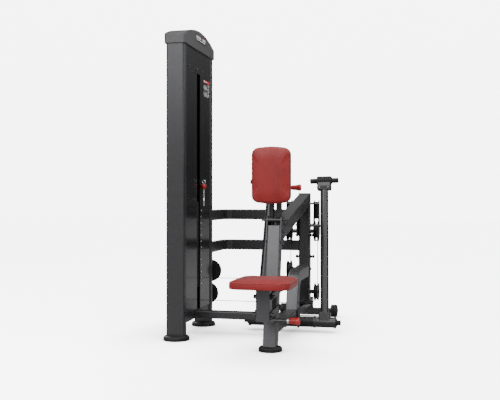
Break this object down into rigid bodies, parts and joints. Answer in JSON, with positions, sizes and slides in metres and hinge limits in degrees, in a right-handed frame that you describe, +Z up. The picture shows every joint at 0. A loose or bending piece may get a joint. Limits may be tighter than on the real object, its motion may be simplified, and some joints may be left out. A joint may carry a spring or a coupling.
{
  "type": "seated row machine",
  "caption": "Weight-stack gym machine: tower, two low-pivoting pull arms on cables, adjustable seat and an upright chest pad.",
  "frame": {"origin": "on the floor under the front leg's foot", "axes": "+X to the seated user's right, +Y away from the user, +Z up"},
  "size_m": [1.069, 1.8425, 2.0099],
  "materials": {
    "frame_paint": "satin graphite powder coat with fine metallic flake",
    "panel_gloss": "glossy near-black",
    "cap_plastic": "fine texture",
    "label_print": "printed film",
    "bright_steel": "ground",
    "fastener_zinc": "zinc plated",
    "rubber": "matt",
    "black_plastic": "moulded",
    "cable_jacket": "nylon jacket over steel rope",
    "cast_plates": "black paint",
    "pin_chrome": "polished",
    "red_vinyl": "embossed vinyl over foam",
    "grip_red": "moulded"
  },
  "bodies": {
    "frame": {"back_shroud": "panel_gloss", "base_beam": "frame_paint", "boom": "frame_paint", "cables": "cable_jacket", "centre_beam": "frame_paint", "frame_bolts": "fastener_zinc", "front_leg": "frame_paint", "front_shroud": "panel_gloss", "guide_rods": "bright_steel", "leg_bracket": "frame_paint", "link_beams": "frame_paint", "main_post": "frame_paint", "pad_carrier": "frame_paint", "pivot_axle": "bright_steel", "pivot_post": "frame_paint", "placard": "label_print", "pulley_brackets": "frame_paint", "pulley_guards": "black_plastic", "rear_crossbeam": "frame_paint", "rear_shroud": "panel_gloss", "rubber_feet": "rubber", "stack_bumpers": "rubber", "tower_base_beam": "frame_paint", "tower_cap": "cap_plastic", "tower_top_plates": "frame_paint", "tower_upright_front": "frame_paint", "tower_upright_rear": "frame_paint", "upper_cover": "frame_paint"},
    "stack": {"weight_plates": "cast_plates", "top_plate": "cast_plates", "selector_stem": "bright_steel", "stack_cables": "cable_jacket"},
    "pin": {"selector_pin": "pin_chrome"},
    "arm_left": {"arm_tube_left": "frame_paint", "arm_sleeve_left": "frame_paint"},
    "arm_right": {"arm_tube_right": "frame_paint", "arm_sleeve_right": "frame_paint"},
    "grip_left": {"handle_left": "black_plastic"},
    "grip_right": {"handle_right": "black_plastic"},
    "seat": {"seat_pad": "red_vinyl", "seat_carriage": "frame_paint"},
    "upper_link": {"seat_link_upper": "frame_paint"},
    "lower_link": {"seat_link_lower": "frame_paint"},
    "seat_release": {"seat_lever": "grip_red"},
    "chest": {"chest_pad": "red_vinyl", "pad_slide": "frame_paint"},
    "pad_release": {"pad_lever": "grip_red"},
    "pad_latch": {"pad_knob": "black_plastic"},
    "wheel_left": {"rear_wheel_left": "rubber"},
    "wheel_right": {"rear_wheel_right": "rubber"},
    "tower_pulley_upper_body": {"tower_pulley_upper": "black_plastic"},
    "tower_pulley_lower_body": {"tower_pulley_lower": "black_plastic"},
    "top_rear_pulleys_body": {"top_rear_pulleys": "black_plastic"},
    "top_front_pulleys_body": {"top_front_pulleys": "black_plastic"},
    "turn_pulley_left_body": {"turn_pulley_left": "black_plastic"},
    "turn_pulley_right_body": {"turn_pulley_right": "black_plastic"},
    "post_pulley_left_body": {"post_pulley_left": "black_plastic"},
    "post_pulley_right_body": {"post_pulley_right": "black_plastic"},
    "post_upper_pulleys_body": {"post_upper_pulleys": "black_plastic"}
  },
  "joints": [
    {"name": "stack_lift", "type": "slide", "parent": "frame", "child": "stack", "axis": [0, 0, 1], "range_m": [0, 0.45], "deforming": ["stack_cables"]},
    {"name": "arm_left_swing", "type": "hinge", "parent": "frame", "child": "arm_left", "pos_m": [-0.222, 0.72, 0.066], "axis": [1, 0, 0], "range_deg": [0, 40]},
    {"name": "handle_left_turn", "type": "hinge", "parent": "arm_left", "child": "grip_left", "pos_m": [-0.18747, 0.94659, 1.01985], "axis": [0.9994, -0.0081, -0.0342], "range_deg": [-30, 30]},
    {"name": "arm_right_swing", "type": "hinge", "parent": "frame", "child": "arm_right", "pos_m": [0.222, 0.72, 0.066], "axis": [1, 0, 0], "range_deg": [0, 40]},
    {"name": "handle_right_turn", "type": "hinge", "parent": "arm_right", "child": "grip_right", "pos_m": [0.18747, 0.94659, 1.01985], "axis": [0.9994, 0.0081, 0.0342], "range_deg": [-30, 30]},
    {"name": "selector_pin_lift", "type": "slide", "parent": "frame", "child": "pin", "axis": [0, 0, 1], "range_m": [0, 0.2]},
    {"name": "seat_swing", "type": "hinge", "parent": "frame", "child": "upper_link", "pos_m": [0, 0.07, 0.355], "axis": [-1, 0, 0], "range_deg": [-5, 30]},
    {"name": "lower_link_swing", "type": "hinge", "parent": "frame", "child": "lower_link", "pos_m": [0, 0.05, 0.255], "axis": [-1, 0, 0], "range_deg": [-5, 30]},
    {"name": "seat_level", "type": "hinge", "parent": "upper_link", "child": "seat", "pos_m": [0, -0.166, 0.34], "axis": [-1, 0, 0], "range_deg": [-30, 5]},
    {"name": "seat_lever_pull", "type": "hinge", "parent": "seat", "child": "seat_release", "pos_m": [0.056, -0.198, 0.212], "axis": [0, -1, 0], "range_deg": [0, 10]},
    {"name": "chest_pad_slide", "type": "slide", "parent": "frame", "child": "chest", "axis": [0, 1, 0], "range_m": [-0.1, 0.04]},
    {"name": "pad_lever_pull", "type": "hinge", "parent": "frame", "child": "pad_release", "pos_m": [0.054, 0.2, 0.966], "axis": [0, -1, 0], "range_deg": [0, 10]},
    {"name": "pad_knob_pull", "type": "slide", "parent": "frame", "child": "pad_latch", "axis": [-1, 0, 0], "range_m": [0, 0.01]},
    {"name": "rear_wheel_left_spin", "type": "hinge", "parent": "frame", "child": "wheel_left", "pos_m": [-0.195, 1.436, 0.0455], "axis": [1, 0, 0], "continuous": true},
    {"name": "rear_wheel_right_spin", "type": "hinge", "parent": "frame", "child": "wheel_right", "pos_m": [0.195, 1.436, 0.0455], "axis": [1, 0, 0], "continuous": true},
    {"name": "tower_pulley_upper_spin", "type": "hinge", "parent": "frame", "child": "tower_pulley_upper_body", "pos_m": [-0.632, 0.92, 0.379], "axis": [0, 1, 0], "continuous": true},
    {"name": "tower_pulley_lower_spin", "type": "hinge", "parent": "frame", "child": "tower_pulley_lower_body", "pos_m": [-0.655, 0.92, 0.217], "axis": [0, 1, 0], "continuous": true},
    {"name": "top_rear_pulleys_spin", "type": "hinge", "parent": "frame", "child": "top_rear_pulleys_body", "pos_m": [-0.655, 0.868, 1.8], "axis": [1, 0, 0], "continuous": true},
    {"name": "top_front_pulleys_spin", "type": "hinge", "parent": "frame", "child": "top_front_pulleys_body", "pos_m": [-0.655, 0.5785, 1.8], "axis": [1, 0, 0], "continuous": true},
    {"name": "turn_pulley_left_spin", "type": "hinge", "parent": "frame", "child": "turn_pulley_left_body", "pos_m": [-0.152, 0.972, 0.327], "axis": [0, 0, 1], "continuous": true},
    {"name": "turn_pulley_right_spin", "type": "hinge", "parent": "frame", "child": "turn_pulley_right_body", "pos_m": [0.048, 0.972, 0.165], "axis": [0, 0, 1], "continuous": true},
    {"name": "post_pulley_left_spin", "type": "hinge", "parent": "frame", "child": "post_pulley_left_body", "pos_m": [-0.1, 1.17, 0.379], "axis": [1, 0, 0], "continuous": true},
    {"name": "post_pulley_right_spin", "type": "hinge", "parent": "frame", "child": "post_pulley_right_body", "pos_m": [0.1, 1.17, 0.217], "axis": [1, 0, 0], "continuous": true},
    {"name": "post_upper_pulleys_spin", "type": "hinge", "parent": "frame", "child": "post_upper_pulleys_body", "pos_m": [0, 1.17, 0.658], "axis": [1, 0, 0], "continuous": true}
  ],
  "couplings": [
    {"joint": "arm_left_swing", "follows": "stack_lift", "rad_per_m": 1.55},
    {"joint": "arm_right_swing", "follows": "stack_lift", "rad_per_m": 1.55},
    {"joint": "lower_link_swing", "follows": "seat_swing", "ratio": 1},
    {"joint": "seat_level", "follows": "seat_swing", "ratio": -1},
    {"joint": "tower_pulley_upper_spin", "follows": "stack_lift", "rad_per_m": -19.231},
    {"joint": "tower_pulley_lower_spin", "follows": "stack_lift", "rad_per_m": -19.231},
    {"joint": "top_rear_pulleys_spin", "follows": "stack_lift", "rad_per_m": -19.231},
    {"joint": "top_front_pulleys_spin", "follows": "stack_lift", "rad_per_m": -19.231},
    {"joint": "turn_pulley_left_spin", "follows": "stack_lift", "rad_per_m": 19.231},
    {"joint": "turn_pulley_right_spin", "follows": "stack_lift", "rad_per_m": 19.231},
    {"joint": "post_pulley_left_spin", "follows": "stack_lift", "rad_per_m": 19.231},
    {"joint": "post_pulley_right_spin", "follows": "stack_lift", "rad_per_m": 19.231},
    {"joint": "post_upper_pulleys_spin", "follows": "stack_lift", "rad_per_m": 19.231}
  ]
}
